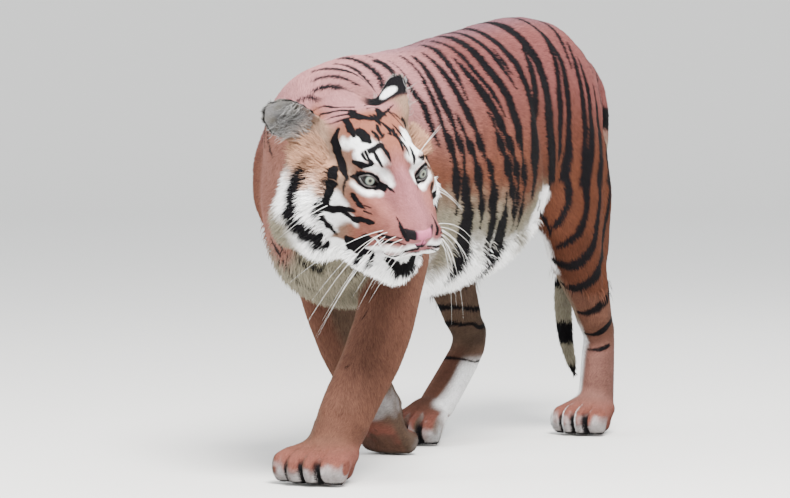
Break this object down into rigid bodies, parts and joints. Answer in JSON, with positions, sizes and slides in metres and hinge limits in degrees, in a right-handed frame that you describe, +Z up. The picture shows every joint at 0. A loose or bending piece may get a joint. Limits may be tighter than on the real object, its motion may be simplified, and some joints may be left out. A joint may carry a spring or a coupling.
{
  "type": "tiger",
  "caption": "life-size walking tiger with its head low and turned to its left and its tail hanging, a still model that stands on its own paws",
  "frame": {"origin": "on the floor, under the middle of the whole model's box", "axes": "X to the animal's left, Y from its head to its tail, Z up; it walks toward -Y"},
  "size_m": [0.5246, 1.5116, 0.8011],
  "materials": {
    "coat": "short orange fur with narrow black stripes, white below",
    "eye": "wet, pale grey-green iris with a small round pupil",
    "bare_skin": "moist pink nose leather"
  },
  "bodies": {
    "root": {"head": "coat", "lower_jaw": "coat", "ear_left": "coat", "ear_right": "coat", "eye_left": "eye", "eye_right": "eye", "nose": "bare_skin", "neck": "coat", "chest": "coat", "abdomen": "coat", "foreleg_left": "coat", "foreleg_right": "coat", "forepaw_left": "coat", "forepaw_right": "coat", "thigh_left": "coat", "thigh_right": "coat", "shank_left": "coat", "shank_right": "coat", "hindpaw_left": "coat", "hindpaw_right": "coat", "tail_1": "coat", "tail_2": "coat", "tail_3": "coat"}
  },
  "joints": []
}
